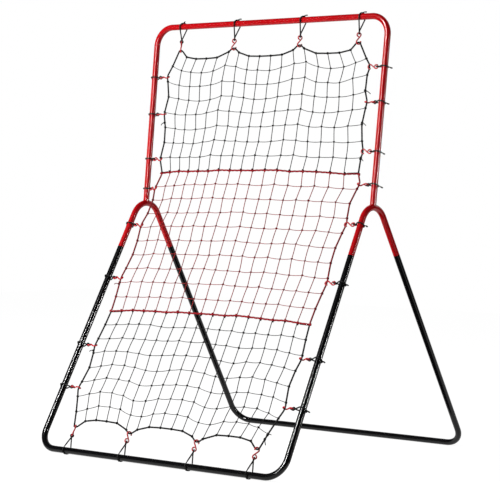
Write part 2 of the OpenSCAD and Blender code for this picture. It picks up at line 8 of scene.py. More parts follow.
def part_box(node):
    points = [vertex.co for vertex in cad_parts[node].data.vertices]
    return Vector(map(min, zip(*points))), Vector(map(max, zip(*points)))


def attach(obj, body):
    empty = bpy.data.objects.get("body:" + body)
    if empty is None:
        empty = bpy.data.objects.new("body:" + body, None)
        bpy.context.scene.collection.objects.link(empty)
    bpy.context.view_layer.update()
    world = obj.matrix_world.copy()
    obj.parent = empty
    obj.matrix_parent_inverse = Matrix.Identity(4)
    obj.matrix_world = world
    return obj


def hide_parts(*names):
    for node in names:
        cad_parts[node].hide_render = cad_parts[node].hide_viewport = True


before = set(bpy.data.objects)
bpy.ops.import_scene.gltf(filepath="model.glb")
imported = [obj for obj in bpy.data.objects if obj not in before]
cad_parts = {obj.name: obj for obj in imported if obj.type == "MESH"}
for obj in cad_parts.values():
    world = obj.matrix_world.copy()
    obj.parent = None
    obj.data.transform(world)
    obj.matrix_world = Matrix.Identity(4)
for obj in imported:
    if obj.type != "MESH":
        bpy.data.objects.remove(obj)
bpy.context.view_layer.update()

# ---- The viewpoint
# A long lens at chest height stands off to the thrower's right and is held a little askew, so that the
# whole net shows with the front base bar running down to the right.

# Place of the lens, its focal length and film width in millimetres, and its angles in degrees.
EYE = (4.1123, -5.6569, 0.9938)
FOCAL, FILM_WIDTH = 124.2, 36
SWING, DIP, ROLL = 36.334, 1.515, 1.135

camera_data = bpy.data.cameras.new("viewpoint")
camera_data.sensor_width = FILM_WIDTH
camera_data.lens = FOCAL
camera = bpy.data.objects.new("viewpoint", camera_data)
bpy.context.scene.collection.objects.link(camera)
bpy.context.scene.camera = camera

swing, dip, roll = math.radians(SWING), math.radians(DIP), math.radians(ROLL)
ahead = Vector((-math.sin(swing) * math.cos(dip), math.cos(swing) * math.cos(dip), -math.sin(dip)))
level = Vector((math.cos(swing), math.sin(swing), 0))
upright = level.cross(ahead)
right = math.cos(roll) * level + math.sin(roll) * upright
above = math.cos(roll) * upright - math.sin(roll) * level
camera.matrix_world = (Matrix.Translation(EYE)
                       @ Matrix((right, above, -ahead)).transposed().to_4x4())

# ---- The steel tubes
# Steel tube, 25 mm across, is bent cold at the corners and reduced at one end to slide into the next
# length. The top bar, uprights and Y joints are powder coated red, the legs with their base bars black.

TUBE_R = 0.0125
BENT_R = 0.0126
JOINT_X = 0.5635
TOP_X = 0.575
FOOT_X = 0.5885
APEX_Z = 1.07
FRONT_REACH = 0.603
REAR_REACH = 0.706
LEFT, RIGHT = -1, 1

leg_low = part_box("front_leg_left")[0]
corner_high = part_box("top_corner_left")[1]
front_y, front_z = leg_low.y + BENT_R, leg_low.z + BENT_R
top_y, top_z = corner_high.y - BENT_R, corner_high.z - BENT_R
apex_y = front_y + FRONT_REACH


def top_corner(side):
    return Vector((side * TOP_X, top_y, top_z))


def apex(side):
    return Vector((side * JOINT_X, apex_y, APEX_Z))


def front_foot(side):
    return Vector((side * FOOT_X, front_y, front_z))


def rear_foot(side):
    return Vector((side * FOOT_X, apex_y + REAR_REACH, BENT_R))


class Signal:
    """A socket in a finish's node tree. Sums and products of signals add Math nodes."""

    def __init__(self, tree, socket=None):
        self.tree = tree
        self.socket = socket

    def node(self, kind, settings=None, values=None, out=0):
        """Adds a node: its settings first, then the values and links of its sockets."""
        made = self.tree.nodes.new("ShaderNode" + kind)
        for name, setting in (settings or {}).items():
            setattr(made, name, setting)
        for name, value in (values or {}).items():
            if isinstance(value, Signal):
                self.tree.links.new(value.socket, made.inputs[name])
            else:
                made.inputs[name].default_value = value
        return Signal(self.tree, made.outputs[out] if made.outputs else None)

    def math(self, operation, *inputs):
        return self.node("Math", {"operation": operation}, dict(enumerate(inputs)))

    def __add__(self, other):
        return self.math("ADD", self, other)

    def __sub__(self, other):
        return self.math("SUBTRACT", self, other)

    def __rsub__(self, other):
        return self.math("SUBTRACT", other, self)

    def __mul__(self, other):
        return self.math("MULTIPLY", self, other)

    __radd__ = __add__
    __rmul__ = __mul__

    def blend(self, first, second):
        """Goes from the first colour to the second as this signal goes from 0 to 1."""
        factor, colour_a, colour_b, colour = 0, 6, 7, 2
        return self.node("Mix", {"data_type": "RGBA"},
                         {factor: self, colour_a: (*first, 1), colour_b: (*second, 1)}, colour)

    def noise(self, scale, detail, **values):
        return self.node("TexNoise", None, {"Vector": self, "Scale": scale, "Detail": detail, **values})

    def ramp(self, low, high):
        """0 below low and 1 above high."""
        return self.node("MapRange", {"clamp": True}, {"Value": self, "From Min": low, "From Max": high})

    def bump(self, distance, strength):
        return self.node("Bump", None, {"Strength": strength, "Distance": distance, "Height": self})


def new_finish(name):
    """An empty finish, and the signal from which its nodes are added."""
    finish = bpy.data.materials.new(name)
    finish.use_nodes = True
    finish.node_tree.nodes.clear()
    return finish, Signal(finish.node_tree)


def surface(start, values):
    shader = start.node("BsdfPrincipled", None, values)
    start.node("OutputMaterial", None, {"Surface": shader})


def powder_coat(name, thin, full, gloss):
    """Baked powder: darker where it flowed thin, with the faint ripple of its skin and a few scuffs."""
    finish, start = new_finish(name)
    place = start.node("TexCoord", out="Object")
    flow = place.noise(7, 4)
    ripple = place.noise(420, 2)
    scuffs = place.noise(60, 6, Roughness=0.75).ramp(0.66, 0.8)
    surface(start, {
        "Base Color": flow.ramp(0.3, 0.7).blend(thin, full),
        "Roughness": gloss + 0.04 * flow + 0.08 * scuffs,
        "Specular IOR Level": 0.25,
        "Normal": ripple.bump(0.00003, 0.2),
    })
    return finish


def dress(node, finish):
    """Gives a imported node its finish."""
    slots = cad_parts[node].material_slots
    if not slots:
        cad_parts[node].data.materials.append(finish)
    for slot in slots:
        slot.material = finish


red_coat = powder_coat("red_powder_coat", (0.52, 0.003, 0.006), (0.63, 0.005, 0.010), 0.13)
black_coat = powder_coat("black_powder_coat", (0.003, 0.003, 0.0035), (0.006, 0.006, 0.007), 0.11)
for name in ("top_corner_left", "top_corner_right", "y_joint_left", "y_joint_right"):
    dress(name, red_coat)
for name in ("front_leg_left", "front_leg_right", "rear_leg_left", "rear_leg_right"):
    dress(name, black_coat)

# ---- The weld of each Y joint
# The upright's stub is coped to sit on the arch and welded on all round. The bead has the overlapping
# ripples of a hand-held torch and is coated over with the tube.

ARCH_R = 0.088
BEAD_R = 0.0019
BEAD_STEPS = 168
BEAD_RIPPLES = 42
SADDLE_HALVINGS = 20

# A cord's rounded end: the width of its last ring and how far it stands out, as shares of the cord.
CAP_WIDTH, CAP_REACH = 0.66, 0.6


class Cords:
    """Cords swept along routes into one mesh. Its map "lay" runs once round in X and in metres in Y."""

    def __init__(self):
        self.points, self.faces, self.lay = [], [], []

    def sweep(self, route, radius, sides, profile=None, closed=False):
        """The radius is a number, or one for each point. The profile scales it by turn and length."""
        count = len(route)
        first = len(self.points)
        after = [route[(i + 1) % count] if closed or i < count - 1 else route[i] for i in range(count)]
        before = [route[i - 1] if closed or i > 0 else route[0] for i in range(count)]
        ways = [(b - a).normalized() for a, b in zip(before, after)]
        normals = [ways[0].orthogonal().normalized()]
        for way in ways[1:]:
            normals.append((normals[-1] - way * normals[-1].dot(way)).normalized())
        drift = 0.0
        if closed:
            back = (normals[-1] - ways[0] * normals[-1].dot(ways[0])).normalized()
            drift = math.atan2(normals[0].cross(back).dot(ways[0]), normals[0].dot(back))
        along = [0.0]
        for i in range(1, count + 1):
            along.append(along[-1] + (route[i % count] - route[i - 1]).length)
        for i in range(count):
            across = ways[i].cross(normals[i])
            size = radius[i] if isinstance(radius, list) else radius
            for k in range(sides):
                turn = math.tau * k / sides
                reach = size * profile(turn, along[i]) if profile else size
                twist = turn - drift * i / count
                self.points.append(route[i] + reach * (math.cos(twist) * normals[i]
                                                       + math.sin(twist) * across))
        for i in range(count if closed else count - 1):
            for k in range(sides):
                near, far = first + i * sides, first + (i + 1) % count * sides
                self.faces.append((near + k, near + (k + 1) % sides, far + (k + 1) % sides, far + k))
                self.lay.append([(k / sides, along[i]), ((k + 1) / sides, along[i]),
                                 ((k + 1) / sides, along[i + 1]), (k / sides, along[i + 1])])
        if not closed:
            self.cap(route[0], -ways[0], first, sides, reverse=True)
            self.cap(route[-1], ways[-1], first + (count - 1) * sides, sides, reverse=False)

    def cap(self, centre, way, ring, sides, reverse):
        """A rounded end on a ring of points: a smaller ring further out, then its face."""
        first = len(self.points)
        size = (self.points[ring] - centre).length
        for k in range(sides):
            self.points.append(centre + CAP_WIDTH * (self.points[ring + k] - centre)
                               + CAP_REACH * size * way)
        for k in range(sides):
            face = (ring + k, ring + (k + 1) % sides, first + (k + 1) % sides, first + k)
            self.faces.append(face[::-1] if reverse else face)
            self.lay.append([(0.5, 0)] * 4)
        face = tuple(range(first, first + sides))
        self.faces.append(face[::-1] if reverse else face)
        self.lay.append([(0.5, 0)] * sides)

    def piece(self, name, finish, slot, *nodes):
        """Makes the piece, which rides on the frame and stands for the nodes named."""
        mesh = bpy.data.meshes.new(name)
        mesh.from_pydata(self.points, [], self.faces)
        lay = mesh.uv_layers.new(name="lay")
        lay.data.foreach_set("uv", [value for corners in self.lay for uv in corners for value in uv])
        mesh.shade_smooth()
        mesh.materials.append(finish)
        made = bpy.data.objects.new(name, mesh)
        bpy.context.scene.collection.objects.link(made)
        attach(made, "frame")
        if nodes:
            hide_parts(*nodes)


def arch(side):
    """The centre of the arch's bend, its axis, the crown of the tube's axis and the upright's way."""
    front = (front_foot(side) - apex(side)).normalized()
    rear = (rear_foot(side) - apex(side)).normalized()
    down = (front + rear).normalized()
    opening = front.angle(rear) / 2
    centre = apex(side) + down * ARCH_R / math.sin(opening)
    crown = centre - down * ARCH_R
    return centre, front.cross(rear).normalized(), crown, (top_corner(side) - crown).normalized()


def off_arch(point, centre, axis):
    """How far a point is from the axis of the arch's tube."""
    height = (point - centre).dot(axis)
    spread = (point - centre - height * axis).length
    return math.hypot(spread - ARCH_R, height)


def saddle(side, turn):
    """The point at this turn round the stub where its skin meets the arch's."""
    centre, axis, crown, way = arch(side)
    across = (axis - way * axis.dot(way)).normalized()
    edge = crown + TUBE_R * (math.cos(turn) * across + math.sin(turn) * way.cross(across))
    low, high = 0.0, 2 * TUBE_R
    for _ in range(SADDLE_HALVINGS):
        middle = (low + high) / 2
        if off_arch(edge + middle * way, centre, axis) < BENT_R:
            low = middle
        else:
            high = middle
    return edge + high * way


for side, name in ((LEFT, "weld_left"), (RIGHT, "weld_right")):
    chance = random.Random(name)
    turns = [math.tau * i / BEAD_STEPS for i in range(BEAD_STEPS)]
    beads = [0.5 + 0.5 * math.cos(BEAD_RIPPLES * turn) for turn in turns]
    sizes = [BEAD_R * (0.86 + 0.2 * bead + chance.uniform(0, 0.05)) for bead in beads]
    weld = Cords()
    weld.sweep([saddle(side, turn) for turn in turns], sizes, 10, closed=True)
    weld.piece(name, red_coat, "red_tube")

# ---- The snap buttons and their clips
# A strip of spring steel lies bent double in each reduced end and pushes a pressed steel button out
# through the holes of both tubes. Both are bright, with the fine scratches of their rolling.


def spring_steel(name):
    finish, start = new_finish(name)
    place = start.node("TexCoord", out="Object")
    rolled = start.node("Mapping", None, {"Vector": place, "Scale": (1, 12, 12)}).noise(240, 5)
    stain = place.noise(35, 3)
    surface(start, {
        "Base Color": stain.ramp(0.35, 0.7).blend((0.42, 0.41, 0.40), (0.60, 0.60, 0.60)),
        "Metallic": 1.0,
        "Roughness": 0.22 + 0.22 * rolled,
        "Normal": rolled.bump(0.00003, 0.4),
    })
    return finish


steel = spring_steel("rolled_spring_steel")
dress("spring_clips", steel)
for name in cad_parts:
    if name.startswith("button_"):
        dress(name, steel)

# ---- The net
# Three sections of knotted twine, black, dark red and black, hang in front of the frame. Each vertical
# strand is knotted to each level one, so the gaps are square, and the net rounds the frame's bend.

END_GAP = 0.101
NET_HALF = 0.503
CORNER_HALF = 0.443
SIDE_SAG = 0.015
END_SAG = 0.038
CORNER_SAG = 0.003
UPPER_SHARE, LOWER_SHARE = 0.337, 0.708
LACE_CROWN = 0.012
ROUND_H = 0.64
SIDE_HOLD = 0.93
HOOK_FLAT = 0.007
INNER_HOOK = 0.365
COLUMNS = 17
ROWS = (8, 10, 8)
UPRIGHT_TWINE_R = 0.0016
LEVEL_TWINE_R = 0.0013
KNOT_SIZE = 0.0037
KNOT_CORD_R = 0.0014
ROPE_R = 0.0035
WHIP_R = 0.0011
WHIP_STEPS = 26

# How far a knot strays across, forward and up, how far a strand bows by chance, and a level one by weight.
KNOT_STRAY = (0.0028, 0.002, 0.0028)
STRAND_SLACK = 0.0008
LEVEL_TWINE_SAG = 0.0016

# How square the scallops are at the net's edge and inside it.
EDGE_POWER, INNER_POWER = 4, 2.2

# Side hooks, as shares of the upright from the top bar down, and of the front leg from the bend down.
UPRIGHT_SHARES = {LEFT: (0.284, 0.494, 0.749, 0.916), RIGHT: (0.266, 0.452, 0.709, 0.881)}
LEG_SHARES = {LEFT: (0.162, 0.369, 0.624, 0.780), RIGHT: (0.138, 0.348, 0.611, 0.776)}

crown_z = arch(RIGHT)[2].z
lean = arch(RIGHT)[3]
rake = (front_foot(RIGHT) - apex(RIGHT)).normalized()
lean_rate, rake_rate = lean.y / lean.z, rake.y / rake.z
net_top_z = top_z - END_GAP * lean.z
net_bottom_z = front_z - END_GAP * rake.z
upper_z = net_top_z - UPPER_SHARE * (net_top_z - net_bottom_z)
lower_z = net_top_z - LOWER_SHARE * (net_top_z - net_bottom_z)
bend_z = (front_y - top_y + top_z * lean_rate - front_z * rake_rate) / (lean_rate - rake_rate)
border_half = CORNER_HALF + HOOK_FLAT
corner_hook = CORNER_HALF / border_half
hook_flat_u = HOOK_FLAT / border_half
outer_mid = (corner_hook + INNER_HOOK) / 2
outer_half = (corner_hook - INNER_HOOK) / 2 - hook_flat_u
hook_heights = {side: [top_z - share * (top_z - crown_z) for share in UPRIGHT_SHARES[side]]
                + [APEX_Z - share * (APEX_Z - front_z) for share in LEG_SHARES[side]]
                for side in (LEFT, RIGHT)}


def net_y(u, z):
    """Depth of the net at a share u of its half width: it cuts the frame's bend short."""
    far = max(0, ROUND_H - abs(z - bend_z))
    bulge = (rake_rate - lean_rate) * far * far / (4 * ROUND_H)
    plane = top_y + (z - top_z) * lean_rate if z > bend_z else front_y + (z - front_z) * rake_rate
    return plane - bulge * (1 - SIDE_HOLD * u * u)


def half_width(side, z):
    """Half width of the net: it is held out at the side hooks and draws in between them."""
    heights = hook_heights[side]
    for hook in heights:
        if abs(z - hook) <= HOOK_FLAT:
            return NET_HALF
    for high, low in zip(heights, heights[1:]):
        if low < z < high:
            middle, half = (high + low) / 2, (high - low) / 2 - HOOK_FLAT
            return NET_HALF - SIDE_SAG * (1 - abs((z - middle) / half) ** 1.5)
    end, hook = ((net_top_z, heights[0] + HOOK_FLAT) if z > heights[0]
                 else (net_bottom_z, heights[-1] - HOOK_FLAT))
    share = (z - hook) / (end - hook)
    return NET_HALF + (border_half - NET_HALF) * share - 4 * CORNER_SAG * share * (1 - share)


def scallop(u, power):
    """1 in the middle of a stretch between two end hooks, and 0 at the hooks."""
    if abs(u) < INNER_HOOK:
        reach = abs(u) / (INNER_HOOK - hook_flat_u)
    else:
        reach = abs(abs(u) - outer_mid) / outer_half
    return 1 - min(1, reach) ** power


def line_z(line, u, power=EDGE_POWER):
    """Height of the net's top edge, upper lacing, lower lacing or bottom edge."""
    if line == 0:
        return net_top_z - END_SAG * scallop(u, power)
    if line == 3:
        return net_bottom_z - END_SAG * rake.z * scallop(u, power)
    return (upper_z if line == 1 else lower_z) + LACE_CROWN * (1 - u * u)


def net_point(section, u, t):
    """Point of a section at u across and t down. The edge's scallops are softer inside the net."""
    power = EDGE_POWER if t in (0, 1) else INNER_POWER
    high, low = line_z(section, u, power), line_z(section + 1, u, power)
    z = high + (low - high) * t
    return Vector((u * half_width(LEFT if u < 0 else RIGHT, z), net_y(u, z), z))


def net_out(section, u, t):
    """Unit vector out of the net, towards the thrower."""
    across = net_point(section, u + 0.01, t) - net_point(section, u - 0.01, t)
    down = net_point(section, u, t + 0.01) - net_point(section, u, t - 0.01)
    return down.cross(across).normalized()


def twisted_cord(name, deep, pale, strands, pitch):
    """Laid twine or rope: grooves between its strands, bumped and painted darker as shade, and loose fibres
    over them.
    """
    finish, start = new_finish(name)
    lay = start.node("UVMap", {"uv_map": "lay"})
    turn = start.node("SeparateXYZ", None, {"Vector": lay}, "X")
    along = start.node("SeparateXYZ", None, {"Vector": lay}, "Y")
    groove = 0.5 + 0.5 * (math.tau * (strands * turn + along * (1 / pitch))).math("SINE")
    fibre = start.node("TexCoord", out="Object").noise(1400, 3)
    relief_and_groove_shade = 0.65 * groove + 0.35 * fibre
    surface(start, {
        # Painted shade: the base colour is darker in the grooves between the strands; the fibre noise is the
        # twine's own uneven tone.
        "Base Color": relief_and_groove_shade.ramp(0.2, 0.8).blend(deep, pale),
        "Roughness": 0.8 - 0.15 * groove,
        "Sheen Weight": 0.02,
        "Sheen Roughness": 0.4,
        "Specular IOR Level": 0.12,
        "Normal": relief_and_groove_shade.bump(0.0003, 0.5),
    })
    return finish


def tie_knot(cords, centre, out, way, size, cord_r, steps=18):
    """A knot pulled tight: a three-leaved loop of the cord, lying across out."""
    side = out.cross(way).normalized()
    route = []
    for i in range(steps):
        turn = math.tau * i / steps
        route.append(centre + size / 3 * ((math.sin(turn) + 2 * math.sin(2 * turn)) * way
                                          + (math.cos(turn) - 2 * math.cos(2 * turn)) * side
                                          - 1.2 * math.sin(3 * turn) * out))
    cords.sweep(route, cord_r, 6, closed=True)


def whipping(cords, centre, way, around_r, cord_r, turns=2.5):
    """Turns of twine round a rope."""
    first = way.orthogonal().normalized()
    second = way.cross(first)
    route = []
    for i in range(WHIP_STEPS + 1):
        share = i / WHIP_STEPS
        angle = math.tau * turns * share
        climb = (share - 0.5) * turns * 1.9 * cord_r
        route.append(centre + climb * way
                     + (around_r + 0.7 * cord_r) * (math.cos(angle) * first + math.sin(angle) * second))
    cords.sweep(route, cord_r, 5)


def strand(knots, sag, chance):
    """A strand through its knots, bowed a little by chance and by its weight between each two."""
    route = []
    for start, end in zip(knots, knots[1:]):
        bow = Vector([chance.uniform(-STRAND_SLACK, STRAND_SLACK) for _ in range(3)])
        bow -= Vector((0, 0, sag))
        for step in range(4):
            share = step / 4
            route.append(start.lerp(end, share) + 4 * share * (1 - share) * bow)
    return route + [knots[-1]]


def section_knots(section, chance):
    """Rows of knots from the left border to the right one; those inside lie a little unevenly."""
    rows = []
    for row in range(ROWS[section] + 1):
        knots = []
        for column in range(COLUMNS + 1):
            point = net_point(section, 2 * column / COLUMNS - 1, row / ROWS[section])
            if 0 < row < ROWS[section] and 0 < column < COLUMNS:
                point += Vector([chance.uniform(-stray, stray) for stray in KNOT_STRAY])
            knots.append(point)
        rows.append(knots)
    return rows


def lay_net(name, section, twine, knot_twine, slot):
    """One section: its upright and level strands, its knots, and their turns round the borders."""
    chance = random.Random(name)
    rows = section_knots(section, chance)
    net = Cords()
    knots = Cords()
    for column in range(1, COLUMNS):
        net.sweep(strand([row[column] for row in rows], 0, chance), UPRIGHT_TWINE_R, 6)
    for row in rows[1:-1]:
        net.sweep(strand(row, LEVEL_TWINE_SAG, chance), LEVEL_TWINE_R, 6)
    for row in range(1, ROWS[section]):
        t = row / ROWS[section]
        for column in range(1, COLUMNS):
            u = 2 * column / COLUMNS - 1
            tilt = chance.uniform(-0.6, 0.6)
            way = Vector((math.cos(tilt), 0, math.sin(tilt)))
            tie_knot(knots, rows[row][column], net_out(section, u, t), way,
                     KNOT_SIZE * chance.uniform(0.9, 1.15), KNOT_CORD_R)
        for side in (0, -1):
            u = -1 if side == 0 else 1
            way = (net_point(section, u, t - 0.01) - net_point(section, u, t + 0.01)).normalized()
            whipping(knots, rows[row][side], way, ROPE_R, WHIP_R)
    edge = {0: 0, 2: -1}.get(section)
    if edge is not None:
        for column in range(1, COLUMNS):
            u = 2 * column / COLUMNS - 1
            way = (net_point(section, u + 0.01, -edge) - net_point(section, u - 0.01, -edge)).normalized()
            whipping(knots, rows[edge][column], way, ROPE_R, WHIP_R)
    net.piece(name + "_twine", twine, slot, name)
    knots.piece(name + "_knots", knot_twine, slot)


black_twine = twisted_cord("black_twine", (0.003, 0.003, 0.003), (0.012, 0.012, 0.012), 2, 0.006)
red_twine = twisted_cord("red_twine", (0.24, 0.011, 0.012), (0.42, 0.028, 0.028), 2, 0.006)
deep_red_twine = twisted_cord("deep_red_twine", (0.11, 0.004, 0.008), (0.20, 0.008, 0.013), 2, 0.006)
lay_net("net_top", 0, black_twine, black_twine, "black_twine")
lay_net("net_middle", 1, red_twine, deep_red_twine, "red_twine")
lay_net("net_bottom", 2, black_twine, black_twine, "black_twine")

# ---- The border ropes
# Laid rope of three strands edges each section, black round the top and bottom ones and dark red down
# the sides of the middle one. It is held out by the hooks, and its cut twine ends stick out here and there.

ROPE_PITCH = 0.014
ROPE_STEP = 0.002
KINK_BEND = 0.006
ROW_CLEAR = 0.004
CORNER_CLEAR = 0.003
LACE_CLEAR = 0.0048
CUT_END_R = 0.0017


def three_strands(turn, along):
    return 0.92 + 0.08 * math.cos(3 * (turn - math.tau * along / ROPE_PITCH))


def evenly(route, step):
    """Points along a route, a step apart."""
    spots = [route[0]]
    left = step
    for start, end in zip(route, route[1:]):
        length = (end - start).length
        while left <= length:
            spots.append(start.lerp(end, left / length))
            left += step
        left -= length
    return spots


def kinked(route, bend):
    """A rope that is drawn straight between its holds, with its kinks rounded to this length."""
    eased = [route[0]]
    for before, spot, after in zip(route, route[1:], route[2:]):
        ways = [(end - spot) for end in (before, after)]
        start, end = (spot + way.normalized() * min(bend, way.length / 2) for way in ways)
        eased += [start.lerp(spot, share).lerp(spot.lerp(end, share), share)
                  for share in (0, 0.25, 0.5, 0.75, 1)]
    return eased + [route[-1]]


def side_run(side, low, high, section):
    """Points up a side border: its hooks' level stretches and the rows of its section between them."""
    top, bottom = line_z(section, side), line_z(section + 1, side)
    rows = [top + (bottom - top) * row / ROWS[section] for row in range(1, ROWS[section])]
    flats = [hook + rise for hook in hook_heights[side] for rise in (-HOOK_FLAT, HOOK_FLAT)]
    clear = [z for z in rows if all(abs(z - flat) > ROW_CLEAR for flat in flats)]
    heights = [low] + sorted(z for z in clear + flats if low < z < high) + [high]
    return [Vector((side * half_width(side, z), net_y(side, z), z)) for z in heights]


def end_run(line):
    """Points along the net's top or bottom edge, from the left corner to the right one."""
    flats = [hook + rise for hook in (-corner_hook, -INNER_HOOK, INNER_HOOK, corner_hook)
             for rise in (-hook_flat_u, hook_flat_u)]
    run = []
    for u in sorted(flats + [2 * column / COLUMNS - 1 for column in range(1, COLUMNS)]):
        z = line_z(line, u)
        run.append(Vector((u * half_width(LEFT if u < 0 else RIGHT, z), net_y(u, z), z)))
    return run


def lay_rope(name, run, finish, slot):
    rope = Cords()
    rope.sweep(evenly(kinked(run, KINK_BEND), ROPE_STEP), ROPE_R, 12, three_strands)
    rope.piece(name + "_laid", finish, slot, name)


black_rope = twisted_cord("black_rope", (0.003, 0.003, 0.003), (0.012, 0.012, 0.012), 3, ROPE_PITCH)
red_rope = twisted_cord("red_rope", (0.16, 0.002, 0.006), (0.34, 0.005, 0.014), 3, ROPE_PITCH)
upper_low, upper_high = upper_z - LACE_CLEAR, upper_z + LACE_CLEAR
lower_low, lower_high = lower_z - LACE_CLEAR, lower_z + LACE_CLEAR
left_top, right_top = (side_run(side, upper_high, net_top_z - CORNER_CLEAR, 0)
                       for side in (LEFT, RIGHT))
lay_rope("border_rope_top", left_top + end_run(0) + right_top[::-1], black_rope, "black_rope")
left_foot, right_foot = (side_run(side, net_bottom_z + CORNER_CLEAR, lower_low, 2)
                         for side in (LEFT, RIGHT))
lay_rope("border_rope_bottom", left_foot[::-1] + end_run(3) + right_foot, black_rope, "black_rope")
lay_rope("side_rope_left", side_run(LEFT, lower_high, upper_low, 1), red_rope, "red_rope")
lay_rope("side_rope_right", side_run(RIGHT, lower_high, upper_low, 1), red_rope, "red_rope")

# Cut ends: side, height, the ends' reach outwards and upwards, and which rope they belong to.
CUT_ENDS = (
    (RIGHT, 1.444, 0.026, -0.014, "black"), (RIGHT, 1.318, 0.019, -0.011, "black"),
    (RIGHT, 1.178, 0.014, -0.008, "black"), (RIGHT, 0.156, 0.019, 0.003, "black"),
    (RIGHT, 0.141, 0.006, -0.020, "black"), (LEFT, 0.392, 0.018, -0.004, "black"),
    (LEFT, 0.657, 0.022, -0.001, "red"), (LEFT, 1.33, 0.016, -0.010, "black"),
)
cut_ends = {"black": Cords(), "red": Cords()}
for side, z, out, rise, colour in CUT_ENDS:
    root = Vector((side * (half_width(side, z) + 0.001), net_y(side, z) - 0.0015, z))
    tip = root + Vector((side * out, -0.003, rise))
    lift = Vector((0, -0.002, 0.003))
    cut_ends[colour].sweep([root.lerp(tip, i / 8) + 4 * (i / 8) * (1 - i / 8) * lift for i in range(9)],
                           CUT_END_R, 6)
    higher = Vector((side * half_width(side, z + 0.003), net_y(side, z + 0.003), z + 0.003))
    whipping(cut_ends[colour], root, (higher - root).normalized(), ROPE_R, WHIP_R, 3)
cut_ends["black"].piece("cut_ends_black", black_twine, "black_rope")
cut_ends["red"].piece("cut_ends_red", deep_red_twine, "red_rope")

# ---- The lacings
# Three red cords are wound about each other along the seam between two sections, with a black one beside
# them at both ends. Each column of twine is tied in with a red and a black knot, and a heavy knot ends the
# cords at each border.

LACE_STEPS = 420
LACE_TURNS = 15
LACE_OFFSET = 0.0021
LACE_CORD_R = 0.0019
LACE_WOBBLE = 0.0028
LACE_BLACK_FROM = 0.9
LACE_BLACK_R = 0.0021


def lace_point(line, u):
    z = line_z(line, u)
    return Vector((u * (half_width(LEFT if u < 0 else RIGHT, z) + ROPE_R), net_y(u, z), z))


def lay_lacing(name, line, black_side):
    """Winds the cords; the black section's knots lie on the black side, 1 above and -1 below."""
    chance = random.Random(name)
    red, black = Cords(), Cords()
    wobble = [chance.uniform(-LACE_WOBBLE, LACE_WOBBLE) for _ in range(COLUMNS + 2)]
    route = []
    for i in range(LACE_STEPS + 1):
        u = 2 * i / LACE_STEPS - 1
        cell = (u + 1) / 2 * COLUMNS
        share = cell % 1
        sway = wobble[int(cell)] * (1 - share) + wobble[int(cell) + 1] * share
        route.append(lace_point(line, u) + Vector((0, 0, sway)))
    for start in range(3):
        wound = []
        for i, point in enumerate(route):
            turn = math.tau * (LACE_TURNS * i / LACE_STEPS + start / 3)
            wound.append(point + LACE_OFFSET * Vector((0, -math.cos(turn), math.sin(turn))))
        red.sweep(wound, LACE_CORD_R, 7)
    for u in (-1, 1):
        ends = [spot for i, spot in enumerate(route) if u * (2 * i / LACE_STEPS - 1) > LACE_BLACK_FROM]
        black.sweep([spot + Vector((0, -0.0012, black_side * 0.003)) for spot in ends],
                    LACE_BLACK_R, 7)
    for column in range(1, COLUMNS):
        u = 2 * column / COLUMNS - 1
        spot = lace_point(line, u) + Vector((0, 0, wobble[column]))
        for cord, rise, size in ((black, black_side, 0.0036), (red, -black_side, 0.0029)):
            centre = spot + Vector((chance.uniform(-0.002, 0.002), -0.0015, rise * 0.0042))
            way = Vector((1, 0, chance.uniform(-0.5, 0.5))).normalized()
            tie_knot(cord, centre, Vector((0, -1, 0)), way, size, size / 2)
        whipping(red, spot, Vector((1, 0, 0)), 0.003, 0.0013, 3)
    for u in (-1, 1):
        spot = lace_point(line, u)
        tie_knot(red, spot + Vector((0, -0.001, -0.001)), Vector((0, -1, 0)), Vector((0.8, 0, 0.6)),
                 0.004, 0.0022)
        tie_knot(black, spot + Vector((-u * 0.009, 0, black_side * 0.002)), Vector((0, -1, 0)),
                 Vector((1, 0, 0)), 0.003, 0.0017)
    red.piece(name + "_red", lace_red, "lacing", name)
    black.piece(name + "_black", lace_black, "lacing")


lace_red = twisted_cord("lacing_red", (0.20, 0.002, 0.007), (0.46, 0.006, 0.018), 3, 0.008)
lace_black = twisted_cord("lacing_black", (0.004, 0.003, 0.003), (0.016, 0.010, 0.010), 3, 0.008)
lay_lacing("lacing_upper", 1, 1)
lay_lacing("lacing_lower", 2, -1)

# ---- The S-hooks
# Steel wire is bent to a closed eye and an open curl and dipped in red vinyl, which rounds its cut ends
# and makes it 5.6 mm thick. The border rope lies in the curl, and each hook turns as its cord lets it.

WIRE_R = 0.0028
EYE_R = 0.0075
CURL_R = 0.0086
HOOK_SPAN = 0.0285
SEAT_GAP = 0.0006
EYE_SWEEP = 292
CURL_SWEEP = 232
BOW_STEP = 9
hook_slant = math.asin((EYE_R + CURL_R) / HOOK_SPAN)
curl_centre = CURL_R - WIRE_R - ROPE_R - SEAT_GAP
eye_top = curl_centre + HOOK_SPAN + EYE_R

# Turn of each hook about its own length in degrees, from the left or from the top.
HOOK_TURNS = {
    "top": (118, 38, 46, 34),
    "bottom": (54, -56, -42, 132),
    "left": (60, 72, 30, 12, 20, 34, 50, 88),
    "right": (178, 84, 180, 86, 180, 178, 88, 86),
}


class Mooring:
    """Where a hook and its cord hold the net: a border point, the tube's nearest axis point, their ways."""

    def __init__(self, border, border_way, tube_point, tube_way):
        self.border = border
        self.tube = tube_point + tube_way * (border - tube_point).dot(tube_way)
        self.tube_way = tube_way
        self.pull = (self.tube - border).normalized()
        self.reach = (self.tube - border).length
        self.across = (border_way - self.pull * border_way.dot(self.pull)).normalized()

    def hook_side(self, turn):
        """The hook's own sideways direction when it is turned by that angle."""
        angle = math.radians(turn)
        return math.cos(angle) * self.across - math.sin(angle) * self.across.cross(self.pull)


def end_moorings(z, y, tube_z):
    spots = []
    for share in (-corner_hook, -INNER_HOOK, INNER_HOOK, corner_hook):
        x = share * border_half
        spots.append(Mooring(Vector((x, net_y(share, z), z)), Vector((1, 0, 0)),
                             Vector((x, y, tube_z)), Vector((1, 0, 0))))
    return spots


